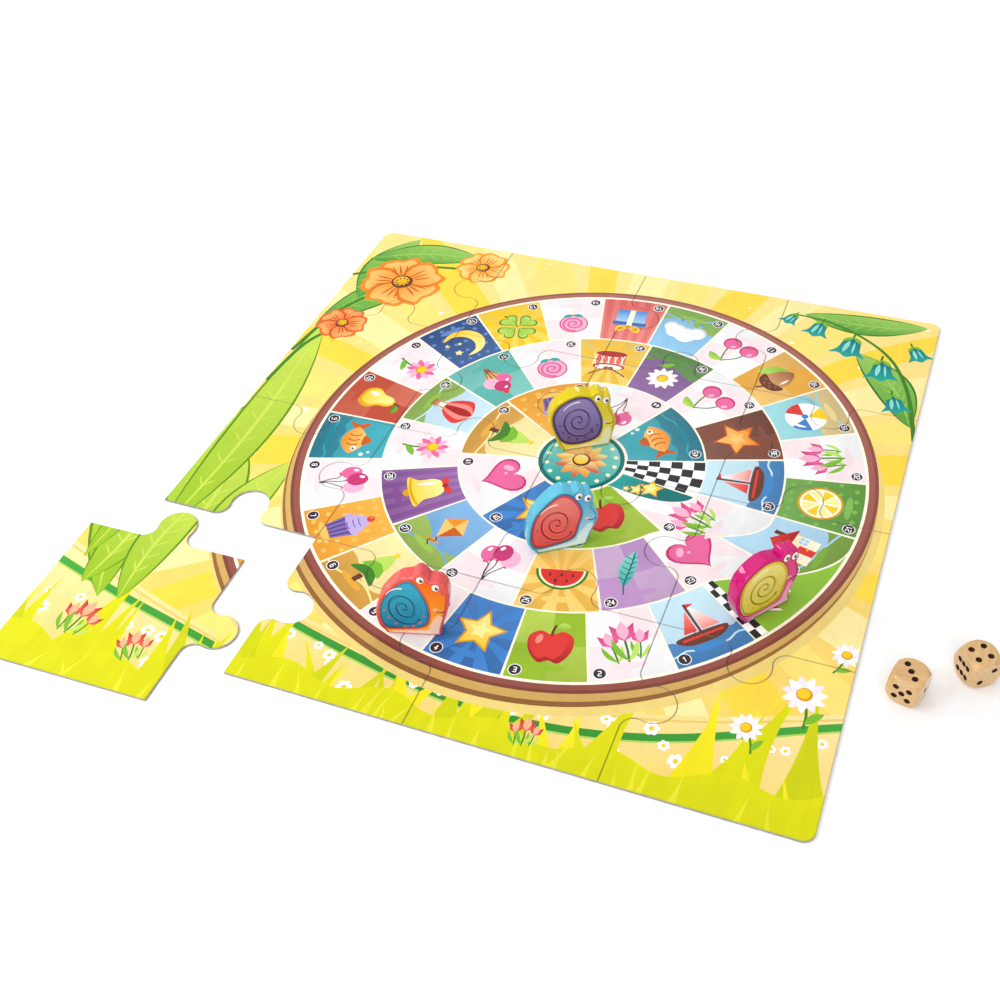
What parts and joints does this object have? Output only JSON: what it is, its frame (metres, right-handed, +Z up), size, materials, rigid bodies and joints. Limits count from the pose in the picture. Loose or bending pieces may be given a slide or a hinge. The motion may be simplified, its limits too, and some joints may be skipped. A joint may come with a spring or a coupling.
{
  "type": "snail race board game",
  "caption": "Jigsaw race-track board of interlocking greyboard tiles with a corner tile pulled out, standing snail-shaped pawns and ball-cornered wooden dice.",
  "frame": {"origin": "on the table, under the middle of the whole set's bounding box as it is laid out", "axes": "+Z up from the table, +X along the board's front edge to the right, +Y to the board's back"},
  "size_m": [0.596, 0.5154, 0.0578],
  "materials": {
    "printed_board": "greyboard with a glossy laminated colour print on its top face",
    "paint_pink": "glossy painted edges and printed broad faces",
    "paint_red": "glossy painted edges and printed broad faces",
    "paint_blue": "glossy painted edges and printed broad faces",
    "paint_yellow": "glossy painted edges and printed broad faces",
    "dice_wood": "clear varnish, dark painted pips"
  },
  "bodies": {
    "puzzle_piece_r1c1": {"puzzle_piece_r1c1": "printed_board"},
    "puzzle_piece_r1c2": {"puzzle_piece_r1c2": "printed_board"},
    "puzzle_piece_r1c3": {"puzzle_piece_r1c3": "printed_board"},
    "puzzle_piece_r1c4": {"puzzle_piece_r1c4": "printed_board"},
    "puzzle_piece_r2c1": {"puzzle_piece_r2c1": "printed_board"},
    "puzzle_piece_r2c2": {"puzzle_piece_r2c2": "printed_board"},
    "puzzle_piece_r2c3": {"puzzle_piece_r2c3": "printed_board"},
    "puzzle_piece_r2c4": {"puzzle_piece_r2c4": "printed_board"},
    "puzzle_piece_r3c1": {"puzzle_piece_r3c1": "printed_board"},
    "puzzle_piece_r3c2": {"puzzle_piece_r3c2": "printed_board"},
    "puzzle_piece_r3c3": {"puzzle_piece_r3c3": "printed_board"},
    "puzzle_piece_r3c4": {"puzzle_piece_r3c4": "printed_board"},
    "puzzle_piece_r4c1": {"puzzle_piece_r4c1": "printed_board"},
    "puzzle_piece_r4c2": {"puzzle_piece_r4c2": "printed_board"},
    "puzzle_piece_r4c3": {"puzzle_piece_r4c3": "printed_board"},
    "puzzle_piece_r4c4": {"puzzle_piece_r4c4": "printed_board"},
    "snail_pawn_pink": {"snail_pawn_pink": "paint_pink"},
    "snail_pawn_red": {"snail_pawn_red": "paint_red"},
    "snail_pawn_blue": {"snail_pawn_blue": "paint_blue"},
    "snail_pawn_yellow": {"snail_pawn_yellow": "paint_yellow"},
    "die_1": {"die_1": "dice_wood"},
    "die_2": {"die_2": "dice_wood"}
  },
  "joints": [
    {"name": "puzzle_piece_r1c1_lift", "type": "slide", "parent": "puzzle_piece_r4c3", "child": "puzzle_piece_r1c1", "axis": [0, 0, 1], "range_m": [0, 0.04]},
    {"name": "puzzle_piece_r1c2_lift", "type": "slide", "parent": "puzzle_piece_r4c3", "child": "puzzle_piece_r1c2", "axis": [0, 0, 1], "range_m": [0, 0.04]},
    {"name": "puzzle_piece_r1c3_lift", "type": "slide", "parent": "puzzle_piece_r4c3", "child": "puzzle_piece_r1c3", "axis": [0, 0, 1], "range_m": [0, 0.04]},
    {"name": "puzzle_piece_r1c4_lift", "type": "slide", "parent": "puzzle_piece_r4c3", "child": "puzzle_piece_r1c4", "axis": [0, 0, 1], "range_m": [0, 0.04]},
    {"name": "puzzle_piece_r2c1_lift", "type": "slide", "parent": "puzzle_piece_r4c3", "child": "puzzle_piece_r2c1", "axis": [0, 0, 1], "range_m": [0, 0.04]},
    {"name": "puzzle_piece_r2c2_lift", "type": "slide", "parent": "puzzle_piece_r4c3", "child": "puzzle_piece_r2c2", "axis": [0, 0, 1], "range_m": [0, 0.008]},
    {"name": "puzzle_piece_r2c3_lift", "type": "slide", "parent": "puzzle_piece_r4c3", "child": "puzzle_piece_r2c3", "axis": [0, 0, 1], "range_m": [0, 0.04]},
    {"name": "puzzle_piece_r2c4_lift", "type": "slide", "parent": "puzzle_piece_r4c3", "child": "puzzle_piece_r2c4", "axis": [0, 0, 1], "range_m": [0, 0.04]},
    {"name": "puzzle_piece_r3c1_lift", "type": "slide", "parent": "puzzle_piece_r4c3", "child": "puzzle_piece_r3c1", "axis": [0, 0, 1], "range_m": [0, 0.04]},
    {"name": "puzzle_piece_r3c2_lift", "type": "slide", "parent": "puzzle_piece_r4c3", "child": "puzzle_piece_r3c2", "axis": [0, 0, 1], "range_m": [0, 0.04]},
    {"name": "puzzle_piece_r3c3_lift", "type": "slide", "parent": "puzzle_piece_r4c3", "child": "puzzle_piece_r3c3", "axis": [0, 0, 1], "range_m": [0, 0.04]},
    {"name": "puzzle_piece_r3c4_lift", "type": "slide", "parent": "puzzle_piece_r4c3", "child": "puzzle_piece_r3c4", "axis": [0, 0, 1], "range_m": [0, 0.04]},
    {"name": "puzzle_piece_r4c1_lift", "type": "slide", "parent": "puzzle_piece_r4c3", "child": "puzzle_piece_r4c1", "axis": [0, 0, 1], "range_m": [0, 0.04]},
    {"name": "puzzle_piece_r4c2_lift", "type": "slide", "parent": "puzzle_piece_r4c3", "child": "puzzle_piece_r4c2", "axis": [0, 0, 1], "range_m": [0, 0.04]},
    {"name": "puzzle_piece_r4c4_lift", "type": "slide", "parent": "puzzle_piece_r4c3", "child": "puzzle_piece_r4c4", "axis": [0, 0, 1], "range_m": [0, 0.04]},
    {"name": "snail_pawn_pink_lift", "type": "slide", "parent": "puzzle_piece_r3c4", "child": "snail_pawn_pink", "axis": [0, 0, 1], "range_m": [0, 0.06]},
    {"name": "snail_pawn_red_lift", "type": "slide", "parent": "puzzle_piece_r4c2", "child": "snail_pawn_red", "axis": [0, 0, 1], "range_m": [0, 0.06]},
    {"name": "snail_pawn_blue_lift", "type": "slide", "parent": "puzzle_piece_r3c3", "child": "snail_pawn_blue", "axis": [0, 0, 1], "range_m": [0, 0.06]},
    {"name": "snail_pawn_yellow_lift", "type": "slide", "parent": "puzzle_piece_r2c3", "child": "snail_pawn_yellow", "axis": [0, 0, 1], "range_m": [0, 0.06]},
    {"name": "die_1_lift", "type": "slide", "parent": "puzzle_piece_r4c3", "child": "die_1", "axis": [0, 0, 1], "range_m": [0, 0.06]},
    {"name": "die_2_lift", "type": "slide", "parent": "puzzle_piece_r4c3", "child": "die_2", "axis": [0, 0, 1], "range_m": [0, 0.06]}
  ]
}
